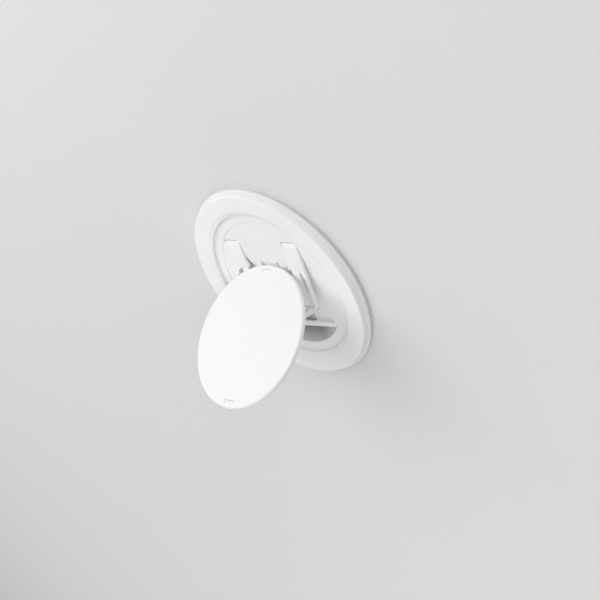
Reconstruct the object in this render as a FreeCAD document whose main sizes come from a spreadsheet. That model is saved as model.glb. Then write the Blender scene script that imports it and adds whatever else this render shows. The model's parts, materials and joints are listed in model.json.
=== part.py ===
import FreeCAD, Part
import math
import os
import Sketcher

# Magnetic phone grip with a fold-out stand.
# Frame: origin at the centre of the mounting face, +Z out of the base, +Y towards the prongs.
# The moving pieces are drawn folded flat in the base and then swung to the open stand pose.

SIZES = [
    # base
    ("ring_width", 6.8),
    ("flange_bottom", 0.5),
    ("flange_top", 1.4),
    ("flange_wall", 1.05),
    ("flange_edge", 0.15),
    ("groove_depth", 0.5),
    ("pad_inset", 0.1),
    ("pad_width", 8.4),
    ("pad_thickness", 0.25),
    ("cover_recess", 0.05),
    ("cover_floor", 0.5),
    ("fit_gap", 0.05),
    # ring
    ("ring_foot_inset", 0.25),
    ("ring_top_inset", 0.85),
    ("ring_height", 3.05),
    ("disc_margin", 2.83),
    ("bevel_width", 1.37),
    ("bevel_depth", 0.55),
    ("ring_inner_wall", 0.7),
    ("ring_roof", 0.6),
    ("spigot_wall", 0.6),
    ("spigot_depth", 0.5),
    ("ring_edge_round", 0.5),
    ("ring_lip_edge", 0.12),
    # magnets
    ("magnet_inset", 0.4),
    ("magnet_height", 1.5),
    ("magnet_spacing", 0.6),
    ("flux_height", 0.42),
    # tray
    ("ledge_height", 1.7),
    ("floor_height", 1.5),
    ("ledge_width", 2.75),
    ("nest_gap", 0.15),
    ("tip_gap", 0.35),
    ("nest_bottom", 12.0),
    ("rib_width", 1.8),
    ("rib_taper", 0.6),
    ("rib_thickness", 0.5),
    ("scoop_inset", 0.2),
    ("stop_gap", 0.23),
    ("tongue_round", 3.8),
    ("notch_half_width", 3.6),
    ("notch_depth", 1.3),
    ("nose_half_width", 2.4),
    ("nose_overhang", 1.2),
    ("nose_length", 0.85),
    ("nose_rise", 0.1),
    ("nose_toe", 0.03),
    ("well_margin", 2.0),
    ("well_depth", 0.25),
    # soft pads
    ("liner_thickness", 0.1),
    ("pad_gap", 0.05),
    ("finger_pad_low", 0.15),
    ("finger_pad_drop", 0.08),
    # arms
    ("hinge_height", 1.03),
    ("arm_length", 18.2),
    ("arm_outer", 13.75),
    ("arm_inner", 8.45),
    ("slot_outer", 12.43),
    ("slot_inner", 11.1),
    ("plate_thickness", 0.9),
    ("slot_end_room", 0.7),
    ("rail_end_gap", 0.3),
    ("inner_rail_drop", 0.3),
    ("shoulder_length", 0.75),
    ("arm_bevel", 0.22),
    # prop
    ("prop_length", 9.57),
    ("lane_gap", 0.12),
    ("ear_width", 0.5),
    ("ear_gap", 0.08),
    ("ear_room", 0.3),
    ("leg_thickness", 0.83),
    ("flange_reach", 0.89),
    ("flange_rise", 0.05),
    ("flange_start", 0.8),
    ("flange_sweep", 0.3),
    ("flange_gap", 0.1),
    ("web_height", 2.6),
    # pins
    ("pin_radius", 0.28),
    ("disc_pin_radius", 0.25),
    ("press_gap", 0.01),
    ("running_gap", 0.04),
    ("pin_hold", 0.7),
    ("shaft_inset", 0.2),
    # disc
    ("disc_radius", 19.37),
    ("disc_thickness", 1.15),
    ("disc_front_height", 2.93),
    ("disc_front_wall", 0.6),
    ("disc_skirt", 0.52),
    ("disc_edge_round", 0.5),
    ("pivot_to_top", 15.4),
    ("edge_rest_height", 1.326),
    ("window_width", 3.6),
    ("window_height", 0.85),
    ("window_inset", 1.7),
    ("clip_width", 3.35),
    ("clip_height", 0.62),
    ("clip_recess", 0.13),
    # stand pose, in degrees
    ("arm_tilt", 9.4),
    ("prop_tilt", 8.1),
]
MAGNET_COUNT = 18

doc = FreeCAD.newDocument("phone_grip")
sheet = doc.addObject("Spreadsheet::Sheet", "Sizes")
for row, (alias, number) in enumerate(SIZES, start=1):
    sheet.set("A%d" % row, alias)
    sheet.set("B%d" % row, str(number))
    sheet.setAlias("B%d" % row, alias)
doc.recompute()


class Size:
    """A length that carries its value and the sheet expression that gives it."""

    def __init__(self, text, value):
        self.text = text
        self.value = value

    def join(self, other, sign, swap=False):
        """Combine two lengths, or a length and a number, into one expression."""
        first = (self.text, self.value)
        second = (other.text, other.value) if isinstance(other, Size) else (repr(other), other)
        if swap:
            first, second = second, first
        results = {
            "+": first[1] + second[1],
            "-": first[1] - second[1],
            "*": first[1] * second[1],
            "/": first[1] / second[1] if second[1] else 0.0,
        }
        return Size("(%s %s %s)" % (first[0], sign, second[0]), results[sign])

    def __add__(self, other):
        return self.join(other, "+")

    def __sub__(self, other):
        return self.join(other, "-")

    def __rsub__(self, other):
        return self.join(other, "-", swap=True)

    def __mul__(self, other):
        return self.join(other, "*")

    def __truediv__(self, other):
        return self.join(other, "/")

    def __neg__(self):
        return self.join(-1, "*")


def size(alias):
    """The driving dimension with this alias."""
    return Size("Sizes." + alias, float(sheet.get(alias)))


def sine(angle):
    """The sine of an angle in degrees, as a sheet-driven number."""
    return Size("sin(%s)" % angle.text, math.sin(math.radians(angle.value)))


def cosine(angle):
    """The cosine of an angle in degrees, as a sheet-driven number."""
    return Size("cos(%s)" % angle.text, math.cos(math.radians(angle.value)))


def number(length):
    """The plain value of a length or of a bare number."""
    return length.value if isinstance(length, Size) else length


def bind(target, path, length):
    """Tie one property or constraint of an object to the sheet."""
    if isinstance(length, Size):
        target.setExpression(path, length.text)


def start_sketch(body, name, plane, offset):
    """An empty sketch on one of the body's own origin planes, moved along its normal."""
    sketch = body.newObject("Sketcher::SketchObject", name)
    support = [item for item in body.Origin.OriginFeatures if item.Role == plane][0]
    sketch.AttachmentSupport = (support, [""])
    sketch.MapMode = "FlatFace"
    sketch.AttachmentOffset = FreeCAD.Placement(FreeCAD.Vector(0, 0, number(offset)), FreeCAD.Rotation())
    bind(sketch, "AttachmentOffset.Base.z", offset)
    return sketch


def pin_point(sketch, geometry, end, point):
    """Fix one end of a sketch line, or a circle's centre, at sheet-driven coordinates."""
    for kind, length in zip(("DistanceX", "DistanceY"), point):
        index = sketch.addConstraint(Sketcher.Constraint(kind, geometry, end, number(length)))
        bind(sketch, "Constraints[%d]" % index, length)


def outline(body, name, plane, loops, offset=0):
    """A sketch of closed straight-sided loops, each a list of corner points."""
    sketch = start_sketch(body, name, plane, offset)
    for loop in loops:
        corners = [FreeCAD.Vector(number(across), number(up), 0) for across, up in loop]
        count = len(corners)
        first = sketch.GeometryCount
        for index in range(count):
            sketch.addGeometry(Part.LineSegment(corners[index], corners[(index + 1) % count]))
        for index in range(count):
            following = first + (index + 1) % count
            sketch.addConstraint(Sketcher.Constraint("Coincident", first + index, 2, following, 1))
        for index, point in enumerate(loop):
            pin_point(sketch, first + index, 1, point)
    return sketch


def rounds(body, name, plane, circles, offset=0):
    """A sketch of full circles, each given by its centre and radius."""
    sketch = start_sketch(body, name, plane, offset)
    for centre, radius in circles:
        middle = FreeCAD.Vector(number(centre[0]), number(centre[1]), 0)
        shape = Part.Circle(middle, FreeCAD.Vector(0, 0, 1), number(radius))
        geometry = sketch.addGeometry(shape)
        pin_point(sketch, geometry, 3, centre)
        index = sketch.addConstraint(Sketcher.Constraint("Radius", geometry, number(radius)))
        bind(sketch, "Constraints[%d]" % index, radius)
    return sketch


def pad(body, name, sketch, length, symmetric=False):
    """Raise a sketch along its normal."""
    feature = body.newObject("PartDesign::Pad", name)
    feature.Profile = sketch
    feature.SideType = "Symmetric" if symmetric else "One side"
    feature.Length = number(length)
    bind(feature, "Length", length)
    return feature


def pocket(body, name, sketch, depth=None):
    """Sink a sketch against its normal, or cut it right through both ways."""
    feature = body.newObject("PartDesign::Pocket", name)
    feature.Profile = sketch
    if depth is None:
        feature.SideType = "Symmetric"
        feature.Type = "ThroughAll"
    else:
        feature.Length = number(depth)
        bind(feature, "Length", depth)
    return feature


def revolve(body, name, sketch):
    """Turn a half section, drawn in the XZ plane, about the Z axis."""
    feature = body.newObject("PartDesign::Revolution", name)
    feature.Profile = sketch
    feature.ReferenceAxis = (sketch, ["V_Axis"])
    feature.Angle = 360
    return feature


def soften(body, name, kind, base, length, wanted):
    """Fillet or chamfer the edges of a feature that a test picks out."""
    doc.recompute()
    edges = enumerate(base.Shape.Edges, start=1)
    names = ["Edge%d" % index for index, edge in edges if wanted(edge)]
    feature = body.newObject("PartDesign::" + kind, name)
    feature.Base = (base, names)
    setting = "Radius" if kind == "Fillet" else "Size"
    setattr(feature, setting, number(length))
    bind(feature, setting, length)
    return feature


def new_body(label):
    """A body that carries the name of its sub-part."""
    body = doc.addObject("PartDesign::Body", label)
    body.Label = label
    return body


def near(first, second):
    """Whether two lengths are the same within a micrometre."""
    return abs(first - second) < 1e-3


def hoop(radius, height):
    """A test for the circular edge of this radius at this height."""
    def wanted(edge):
        box = edge.BoundBox
        return near(box.ZMin, height.value) and near(box.ZMax, height.value) and near(box.XMax, radius.value)
    return wanted


def upright(points):
    """A test for the edges along Z that stand at any of these points."""
    def wanted(edge):
        box = edge.BoundBox
        slim = box.XLength < 1e-3 and box.YLength < 1e-3
        return slim and any(near(box.XMin, number(x)) and near(box.YMin, number(y)) for x, y in points)
    return wanted


def crosswise(y_value):
    """A test for the edges along X at this Y."""
    def wanted(edge):
        box = edge.BoundBox
        straight = box.YLength < 1e-3 and box.ZLength < 1e-3
        return straight and near(box.YMin, y_value.value)
    return wanted


def rod(name, radius, start, length, y_value, z_value):
    """A round pin along X."""
    pin = doc.addObject("Part::Cylinder", name)
    bind(pin, "Radius", radius)
    bind(pin, "Height", length)
    along_x = FreeCAD.Rotation(FreeCAD.Vector(0, 1, 0), 90)
    place = FreeCAD.Vector(number(start), number(y_value), number(z_value))
    pin.Placement = FreeCAD.Placement(place, along_x)
    bind(pin, "Placement.Base.x", start)
    bind(pin, "Placement.Base.y", y_value)
    bind(pin, "Placement.Base.z", z_value)
    return pin


def group(label, members):
    """Like pieces that share one node."""
    compound = doc.addObject("Part::Compound", label)
    compound.Label = label
    compound.Links = members
    return compound


# Round outlines, from the disc outwards.
disc_edge = size("disc_radius")
ring_bore = disc_edge + size("disc_margin")
base_radius = ring_bore + size("ring_width")
floor_radius = ring_bore - size("fit_gap") - size("ledge_width")

# The three hinge lines when the grip is folded flat, with the disc in the middle of the ring.
hinge_z = size("hinge_height")
disc_y = disc_edge - size("pivot_to_top")
prop_y = disc_y - size("prop_length")
arm_y = prop_y + size("arm_length")

# The same hinge lines with the stand open.
arm_tilt = size("arm_tilt")
prop_tilt = size("prop_tilt")
prop_open_y = arm_y - size("arm_length") * cosine(arm_tilt)
prop_open_z = hinge_z + size("arm_length") * sine(arm_tilt)
disc_open_y = prop_open_y + size("prop_length") * sine(prop_tilt)
disc_open_z = prop_open_z + size("prop_length") * cosine(prop_tilt)


def lean_of_disc():
    """The open disc's angle in degrees: its top edge comes down to rest close above the base."""
    reach = size("pivot_to_top")
    offset = size("disc_front_height") - size("disc_thickness") - hinge_z
    drop = disc_open_z - size("edge_rest_height")
    span = "sqrt(%s ^ 2 + %s ^ 2)" % (reach.text, offset.text)
    text = "asin(%s / %s) + atan(%s / %s)" % (drop.text, span, offset.text, reach.text)
    radians = math.asin(drop.value / math.hypot(reach.value, offset.value))
    radians += math.atan2(offset.value, reach.value)
    return Size("(%s)" % text, math.degrees(radians))


# The disc's front top edge when open sets how far the stop nose and the tongue come.
disc_tilt = lean_of_disc()
front_offset = size("disc_front_height") - hinge_z
edge_open_y = disc_open_y + size("pivot_to_top") * cosine(disc_tilt) + front_offset * sine(disc_tilt)
nose_low = edge_open_y + size("stop_gap")
tongue_end = nose_low - size("nose_overhang")
bridge_edge = -size("nest_bottom") - size("rib_width")
scoop_radius = floor_radius - size("scoop_inset")

# Shared heights and pin fits.
half_plate = size("plate_thickness") * 0.5
plate_bottom = hinge_z - half_plate
plate_top = hinge_z + half_plate
cover_top = size("cover_floor")
pin_fit = size("pin_radius") + size("press_gap")
pin_run = size("pin_radius") + size("running_gap")
disc_pin_fit = size("disc_pin_radius") + size("press_gap")
disc_pin_run = size("disc_pin_radius") + size("running_gap")


def build_rear_pad():
    """The thin ring of soft sheet that meets the mounting surface."""
    body = new_body("rear_pad")
    outer = base_radius - size("pad_inset")
    inner = outer - size("pad_width")
    top = size("pad_thickness")
    section = [(inner, 0), (outer, 0), (outer, top), (inner, top)]
    revolve(body, "pad_ring", outline(body, "pad_section", "XZ_Plane", [section]))
    return body


def build_rear_cover():
    """The moulded dish that closes the base, with its flange and a shallow well."""
    body = new_body("rear_cover")
    outer = base_radius
    bottom = size("flange_bottom")
    top = size("flange_top")
    wall = outer - size("flange_wall")
    groove = outer - size("groove_depth")
    shelf = outer - size("pad_inset") - size("pad_width") - size("fit_gap")
    under = size("cover_recess")
    pad_top = size("pad_thickness")
    section = [
        (0, under),
        (shelf, under),
        (shelf, pad_top),
        (groove, pad_top),
        (groove, bottom),
        (outer, bottom),
        (outer, top),
        (wall, top),
        (wall, cover_top),
        (0, cover_top),
    ]
    dish = revolve(body, "cover_dish", outline(body, "cover_section", "XZ_Plane", [section]))
    rim = soften(body, "flange_edge", "Chamfer", dish, size("flange_edge"), hoop(outer, top))
    soften(body, "flange_foot", "Chamfer", rim, size("flange_edge"), hoop(outer, bottom))
    well = well_corners(0)
    plan = outline(body, "well_outline", "XY_Plane", [well], cover_top)
    pocket(body, "cover_well", plan, size("well_depth"))
    return body


def well_corners(gap):
    """The well's plan, from under the tray's tongue to the far side of its bridge, less a gap all round."""
    half = size("arm_inner") - size("nest_gap") - size("well_margin") - gap
    low = bridge_edge + gap
    high = tongue_end - size("well_margin") - gap
    return [(-half, low), (half, low), (half, high), (-half, high)]


def build_base_ring():
    """The ring shell: tapered side, flat top, bevel to the bore, hollow for the magnets."""
    body = new_body("base_ring")
    outer = base_radius
    bore = ring_bore
    flat = bore + size("bevel_width")
    hollow_in = bore + size("ring_inner_wall")
    spigot_out = outer - size("flange_wall") - size("fit_gap")
    spigot_in = spigot_out - size("spigot_wall")
    seat = size("flange_top")
    top = size("ring_height")
    roof = top - size("ring_roof")
    shoulder = outer - size("ring_top_inset")
    section = [
        (bore, cover_top),
        (hollow_in, cover_top),
        (hollow_in, roof),
        (spigot_in, roof),
        (spigot_in, seat - size("spigot_depth")),
        (spigot_out, seat - size("spigot_depth")),
        (spigot_out, seat),
        (outer - size("ring_foot_inset"), seat),
        (shoulder, top),
        (flat, top),
        (bore, top - size("bevel_depth")),
    ]
    shell = revolve(body, "ring_shell", outline(body, "ring_section", "XZ_Plane", [section]))
    edge = soften(body, "ring_edge", "Fillet", shell, size("ring_edge_round"), hoop(shoulder, top))
    soften(body, "ring_lip", "Chamfer", edge, size("ring_lip_edge"), hoop(flat, top))
    return body


def build_magnets():
    """The arc magnets that stand on the rear cover, all the way round, and the steel ring on them."""
    inner = ring_bore + size("ring_inner_wall") + size("magnet_inset")
    spigot_in = base_radius - size("flange_wall") - size("fit_gap") - size("spigot_wall")
    outer = spigot_in - size("magnet_inset")
    arcs = []
    for index in range(MAGNET_COUNT):
        sector = doc.addObject("Part::Cylinder", "magnet_sector_%d" % index)
        hole = doc.addObject("Part::Cylinder", "magnet_hole_%d" % index)
        arc = doc.addObject("Part::Cut", "magnet_%d" % index)
        bind(sector, "Radius", outer)
        bind(hole, "Radius", inner)
        for piece in (sector, hole):
            bind(piece, "Height", size("magnet_height"))
            bind(piece, "Placement.Base.z", cover_top)
        pitch = 360.0 / MAGNET_COUNT
        gap = "%s / (%s) * 180 / pi * 1 deg" % (size("magnet_spacing").text, inner.text)
        sector.setExpression("Angle", "%r deg - %s" % (pitch, gap))
        arc.Base = sector
        arc.Tool = hole
        arc.Placement.Rotation = FreeCAD.Rotation(FreeCAD.Vector(0, 0, 1), pitch * index)
        arcs.append(arc)
    magnets = group("ring_magnets", arcs)

    body = new_body("flux_ring")
    low = cover_top + size("magnet_height")
    high = low + size("flux_height")
    section = [(inner, low), (outer, low), (outer, high), (inner, high)]
    revolve(body, "flux_hoop", outline(body, "flux_section", "XZ_Plane", [section]))
    return magnets, body


def build_hinge_tray():
    """The floor inside the ring: ledge, nest for the arms and prop, stop nose and finger scoop."""
    body = new_body("hinge_tray")
    rim = ring_bore - size("fit_gap")
    ledge = size("ledge_height")
    floor = size("floor_height")
    well = floor_radius
    section = [(0, cover_top), (rim, cover_top), (rim, ledge), (well, ledge), (well, floor), (0, floor)]
    revolve(body, "tray_disc", outline(body, "tray_section", "XZ_Plane", [section]))

    side = size("arm_outer") + size("nest_gap")
    tongue = size("arm_inner") - size("nest_gap")
    top = arm_y + half_plate + size("tip_gap")
    bottom = -size("nest_bottom")
    end = tongue_end
    notch = size("notch_half_width")
    notch_top = end + size("notch_depth")
    nest = [
        (-side, top),
        (-tongue, top),
        (-tongue, end),
        (-notch, end),
        (-notch, notch_top),
        (notch, notch_top),
        (notch, end),
        (tongue, end),
        (tongue, top),
        (side, top),
        (side, bottom),
        (-side, bottom),
    ]
    cut = pocket(body, "arm_nest", outline(body, "nest_outline", "XY_Plane", [nest], cover_top))
    corners = [(-tongue, end), (tongue, end)]
    soften(body, "tongue_corners", "Fillet", cut, size("tongue_round"), upright(corners))

    nose = size("nose_half_width")
    nose_high = nose_low + size("nose_length")
    stop = [
        (nose_low, cover_top),
        (nose_high, cover_top),
        (nose_high, floor + size("nose_rise")),
        (nose_low, floor - size("nose_toe")),
    ]
    pad(body, "stop_nose", outline(body, "nose_side", "YZ_Plane", [stop]), nose * 2, symmetric=True)

    pocket(body, "finger_scoop", scoop_outline(body, scoop_radius, 0))
    under = well_corners(0)[1][0]
    arch = [(-under, bridge_edge), (under, bridge_edge), (under, bottom), (-under, bottom)]
    rise = floor - size("rib_thickness")
    pocket(body, "bridge_arch", outline(body, "arch_outline", "XY_Plane", [arch], rise), rise - cover_top)
    bores = rounds(body, "pin_places", "YZ_Plane", [((arm_y, hinge_z), pin_fit)])
    pocket(body, "pin_bores", bores)
    return body


def scoop_outline(body, radius, gap):
    """The D-shaped plan below the nest: a round wall, and a bridge that is widest in the middle."""
    middle = bridge_edge - gap
    level = middle + size("rib_taper")
    sketch = start_sketch(body, "scoop_outline", "XY_Plane", cover_top)
    half = math.sqrt(radius.value ** 2 - level.value ** 2)
    right = math.atan2(level.value, half)
    full = Part.Circle(FreeCAD.Vector(0, 0, 0), FreeCAD.Vector(0, 0, 1), radius.value)
    arc = sketch.addGeometry(Part.ArcOfCircle(full, -math.pi - right, right))
    centre = FreeCAD.Vector(0, middle.value, 0)
    rise = sketch.addGeometry(Part.LineSegment(FreeCAD.Vector(half, level.value, 0), centre))
    fall = sketch.addGeometry(Part.LineSegment(centre, FreeCAD.Vector(-half, level.value, 0)))
    joined = [(arc, 3, -1, 1), (arc, 2, rise, 1), (rise, 2, fall, 1), (fall, 2, arc, 1)]
    for ends in joined:
        sketch.addConstraint(Sketcher.Constraint("Coincident", *ends))
    index = sketch.addConstraint(Sketcher.Constraint("Radius", arc, radius.value))
    bind(sketch, "Constraints[%d]" % index, radius)
    pin_point(sketch, fall, 1, (0, middle))
    for line, end in ((rise, 1), (fall, 2)):
        index = sketch.addConstraint(Sketcher.Constraint("DistanceY", line, end, level.value))
        bind(sketch, "Constraints[%d]" % index, level)
    return sketch


def build_soft_pads():
    """The grey pads: a thin sheet in the rear cover's well, and a dished finger pad in the scoop."""
    gap = size("pad_gap")
    sheet = new_body("well_pad")
    floor = cover_top - size("well_depth")
    pad(sheet, "well_sheet", outline(sheet, "sheet_outline", "XY_Plane", [well_corners(gap)], floor),
        size("liner_thickness"))

    body = new_body("finger_pad")
    radius = scoop_radius - gap
    top = size("floor_height") - size("finger_pad_drop")
    low = cover_top + size("finger_pad_low")
    pad(body, "pad_block", scoop_outline(body, radius, gap), top - cover_top)
    dish = [
        (0, low),
        (-bridge_edge, low),
        (radius + gap, top),
        (radius + gap, top + gap),
        (0, top + gap),
    ]
    groove = body.newObject("PartDesign::Groove", "pad_dish")
    groove.Profile = outline(body, "dish_section", "XZ_Plane", [dish])
    groove.ReferenceAxis = (groove.Profile[0], ["V_Axis"])
    groove.Angle = 360
    return sheet, body


def build_swing_arm(label, side):
    """One slotted arm: prong with the base pivot, outer rail to the shaft, thinner inner rail."""
    body = new_body(label)
    outer = size("arm_outer") * side
    inner = size("arm_inner") * side
    slot_out = size("slot_outer") * side
    slot_in = size("slot_inner") * side
    tip = arm_y + half_plate
    heel = prop_y - half_plate
    slot_top = disc_y + size("slot_end_room")
    rail_end = prop_y + half_plate + size("rail_end_gap")
    plan = [
        (inner, tip),
        (outer, tip),
        (outer, heel),
        (slot_out, heel),
        (slot_out, slot_top),
        (slot_in, slot_top),
        (slot_in, rail_end),
        (inner, rail_end),
    ]
    plate = pad(body, "arm_plate", outline(body, "arm_plan", "XY_Plane", [plan], plate_bottom),
                size("plate_thickness"))
    slot_round = (size("slot_outer") - size("slot_inner")) * 0.38
    ends = [(slot_out, slot_top), (slot_in, slot_top)]
    soften(body, "slot_end", "Fillet", plate, slot_round, upright(ends))

    shoulder = slot_top + size("shoulder_length")
    step = [(inner, rail_end), (slot_in, rail_end), (slot_in, shoulder), (inner, shoulder)]
    pocket(body, "inner_rail", outline(body, "rail_step", "XY_Plane", [step], plate_top),
           size("inner_rail_drop"))
    reach, near_end, far_end, level = flange_place()
    gap = size("flange_gap")
    shelf = (reach + gap) * side
    low = near_end - size("flange_sweep")
    high = far_end + gap
    rest = [(slot_out, low), (shelf, low), (shelf, high), (slot_out, high)]
    rebate = pocket(body, "flange_rebate", outline(body, "rebate_plan", "XY_Plane", [rest], plate_top),
                    plate_top - level + gap)
    end_round = half_plate * 0.96
    knuckle = soften(body, "tip_round", "Fillet", rebate, end_round, crosswise(tip))
    heel_round = soften(body, "heel_round", "Fillet", knuckle, end_round, crosswise(heel))

    def outer_top(edge):
        box = edge.BoundBox
        level = near(box.ZMin, plate_top.value) and near(box.ZMax, plate_top.value)
        return level and near(box.XMin, outer.value) and near(box.XMax, outer.value)

    soften(body, "outer_bevel", "Chamfer", heel_round, size("arm_bevel"), outer_top)
    pocket(body, "base_bore", rounds(body, "base_pivot", "YZ_Plane", [((arm_y, hinge_z), pin_run)]))
    pocket(body, "shaft_bore", rounds(body, "shaft_pivot", "YZ_Plane", [((prop_y, hinge_z), pin_fit)]))
    return body


def leg_lanes():
    """Where the prop's legs and the disc's ears lie across the slot, from its inner side out."""
    leg_in = size("slot_inner") + size("lane_gap")
    leg_out = size("slot_outer") - size("lane_gap")
    knuckle_in = leg_in + size("ear_width") + size("ear_gap")
    return leg_in, knuckle_in, leg_out


def flange_place():
    """Where the flange of a leg lies: its outer edge, its two ends along the leg and its underside."""
    reach = leg_lanes()[2] + size("flange_reach")
    near_end = prop_y + size("flange_start")
    far_end = disc_y - size("flange_start")
    return reach, near_end, far_end, hinge_z + size("flange_rise")


def build_prop_link():
    """The U-shaped prop: a round root on the shaft, two L-shaped legs and a low web between them."""
    body = new_body("prop_link")
    leg_in, knuckle_in, leg_out = leg_lanes()
    root = rounds(body, "root_round", "YZ_Plane", [((prop_y, hinge_z), half_plate)])
    pad(body, "root_bar", root, leg_out * 2, symmetric=True)

    fork = disc_y - half_plate - size("ear_room")
    inside = prop_y + half_plate * 0.5
    web = size("arm_inner") - size("lane_gap")
    web_top = prop_y + size("web_height")
    right = [
        (leg_out, prop_y),
        (leg_out, disc_y),
        (knuckle_in, disc_y),
        (knuckle_in, fork),
        (leg_in, fork),
        (leg_in, inside),
        (web, inside),
        (web, web_top),
    ]
    plan = right + [(-across, along) for across, along in reversed(right)]
    low = hinge_z - size("leg_thickness") * 0.5
    pad(body, "legs", outline(body, "leg_plan", "XY_Plane", [plan], low), size("leg_thickness"))

    reach, near_end, far_end, level = flange_place()
    root_x = leg_out - size("lane_gap")
    sides = []
    for hand in (1, -1):
        close, far = root_x * hand, reach * hand
        sides.append([(close, near_end), (far, near_end), (far, far_end), (close, far_end)])
    pad(body, "flanges", outline(body, "flange_plan", "XY_Plane", sides, level),
        hinge_z + size("leg_thickness") * 0.5 - level)

    knuckle = leg_out - knuckle_in
    for name, start in (("right", knuckle_in), ("left", -leg_out)):
        sketch = rounds(body, name + "_knuckle_round", "YZ_Plane", [((disc_y, hinge_z), half_plate)], start)
        pad(body, name + "_knuckle", sketch, knuckle)
    pocket(body, "root_bore", rounds(body, "root_pivot", "YZ_Plane", [((prop_y, hinge_z), pin_run)]))
    pocket(body, "knuckle_bore", rounds(body, "disc_pivot", "YZ_Plane", [((disc_y, hinge_z), disc_pin_fit)]))
    return body


def build_disc_cover():
    """The round front: a shallow cup with a soft edge and two small windows."""
    body = new_body("disc_cover")
    outer = disc_edge
    inner = outer - size("disc_skirt")
    front = size("disc_front_height")
    back = front - size("disc_thickness")
    inside = front - size("disc_front_wall")
    section = [(0, inside), (inner, inside), (inner, back), (outer, back), (outer, front), (0, front)]
    cup = revolve(body, "cover_cup", outline(body, "cup_section", "XZ_Plane", [section]))
    soften(body, "front_edge", "Fillet", cup, size("disc_edge_round"), hoop(outer, front))
    loops = window_loops(size("window_width"), size("window_height"))
    openings = outline(body, "window_outline", "XY_Plane", loops, front)
    pocket(body, "windows", openings, size("disc_front_wall"))
    return body


def window_loops(width, height):
    """Two like rectangles across the disc's vertical diameter, one near each edge."""
    place = disc_edge - size("window_inset")
    half_w = width * 0.5
    half_h = height * 0.5
    loops = []
    for centre in (place, -place):
        low = centre - half_h
        high = centre + half_h
        loops.append([(-half_w, low), (half_w, low), (half_w, high), (-half_w, high)])
    return loops


def build_disc_carrier():
    """The disc's back plate, with two hinge ears and the clips that show in the windows."""
    body = new_body("disc_carrier")
    outer = disc_edge - size("disc_skirt") - size("fit_gap")
    front = size("disc_front_height")
    back = front - size("disc_thickness")
    seat = front - size("disc_front_wall")
    section = [(0, back), (outer, back), (outer, seat), (0, seat)]
    revolve(body, "carrier_plate", outline(body, "carrier_section", "XZ_Plane", [section]))

    clips = window_loops(size("clip_width"), size("clip_height"))
    clip_length = front - size("clip_recess") - back
    pad(body, "clips", outline(body, "clip_outline", "XY_Plane", clips, back), clip_length)

    leg_in = leg_lanes()[0]
    ear_out = leg_in + size("ear_width")
    stem_top = back + (seat - back) * 0.5
    stem = [
        (disc_y - half_plate, hinge_z),
        (disc_y + half_plate, hinge_z),
        (disc_y + half_plate, stem_top),
        (disc_y - half_plate, stem_top),
    ]
    for name, start in (("right", leg_in), ("left", -ear_out)):
        stem_sketch = outline(body, name + "_stem_outline", "YZ_Plane", [stem], start)
        pad(body, name + "_stem", stem_sketch, size("ear_width"))
        ear = rounds(body, name + "_ear_round", "YZ_Plane", [((disc_y, hinge_z), half_plate)], start)
        pad(body, name + "_ear", ear, size("ear_width"))
    pocket(body, "ear_bore", rounds(body, "ear_pivot", "YZ_Plane", [((disc_y, hinge_z), disc_pin_run)]))
    return body


def build_pins():
    """The base pins in the tray, the shaft through arms and prop, and the disc's short pins."""
    start = size("arm_inner") - size("nest_gap") - size("pin_hold")
    length = size("arm_outer") + size("nest_gap") + size("pin_hold") - start
    base_pins = [
        rod("base_pin_right", size("pin_radius"), start, length, arm_y, hinge_z),
        rod("base_pin_left", size("pin_radius"), -start - length, length, arm_y, hinge_z),
    ]
    reach = size("arm_outer") - size("shaft_inset")
    shaft = rod("prop_shaft", size("pin_radius"), -reach, reach * 2, prop_y, hinge_z)
    leg_in, knuckle_in, leg_out = leg_lanes()
    short = leg_out - leg_in
    disc_pins = [
        rod("disc_pin_right", size("disc_pin_radius"), leg_in, short, disc_y, hinge_z),
        rod("disc_pin_left", size("disc_pin_radius"), -leg_out, short, disc_y, hinge_z),
    ]
    return group("arm_pivot_pins", base_pins), shaft, group("disc_pivot_pins", disc_pins)


def swung(folded, angle, opened):
    """The move that turns a folded piece about X and carries its hinge to the open place."""
    turn = FreeCAD.Rotation(FreeCAD.Vector(1, 0, 0), angle)
    goal = FreeCAD.Vector(0, opened[0], opened[1])
    return FreeCAD.Placement(goal - turn.multVec(FreeCAD.Vector(0, folded[0], folded[1])), turn)


rear_pad = build_rear_pad()
rear_cover = build_rear_cover()
base_ring = build_base_ring()
ring_magnets, flux_ring = build_magnets()
hinge_tray = build_hinge_tray()
well_pad, finger_pad = build_soft_pads()
arm_right = build_swing_arm("swing_arm_right", 1)
arm_left = build_swing_arm("swing_arm_left", -1)
prop_link = build_prop_link()
disc_cover = build_disc_cover()
disc_carrier = build_disc_carrier()
arm_pivot_pins, prop_shaft, disc_pivot_pins = build_pins()
doc.recompute()

# Swing the three moving bodies from folded flat to the open stand pose.
folded_hinges = [(y.value, hinge_z.value) for y in (arm_y, prop_y, disc_y)]
open_hinges = [
    folded_hinges[0],
    (prop_open_y.value, prop_open_z.value),
    (disc_open_y.value, disc_open_z.value),
]
turns = (-arm_tilt.value, 90 - prop_tilt.value, -disc_tilt.value)
moving = ((arm_right, arm_left, prop_shaft), (prop_link, disc_pivot_pins), (disc_cover, disc_carrier))
for pieces, turn, folded, opened in zip(moving, turns, folded_hinges, open_hinges):
    move = swung(folded, turn, opened)
    for piece in pieces:
        for path in ("Placement.Base.x", "Placement.Base.y", "Placement.Base.z"):
            piece.setExpression(path, None)
        piece.Placement = move.multiply(piece.Placement)
doc.recompute()

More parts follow.
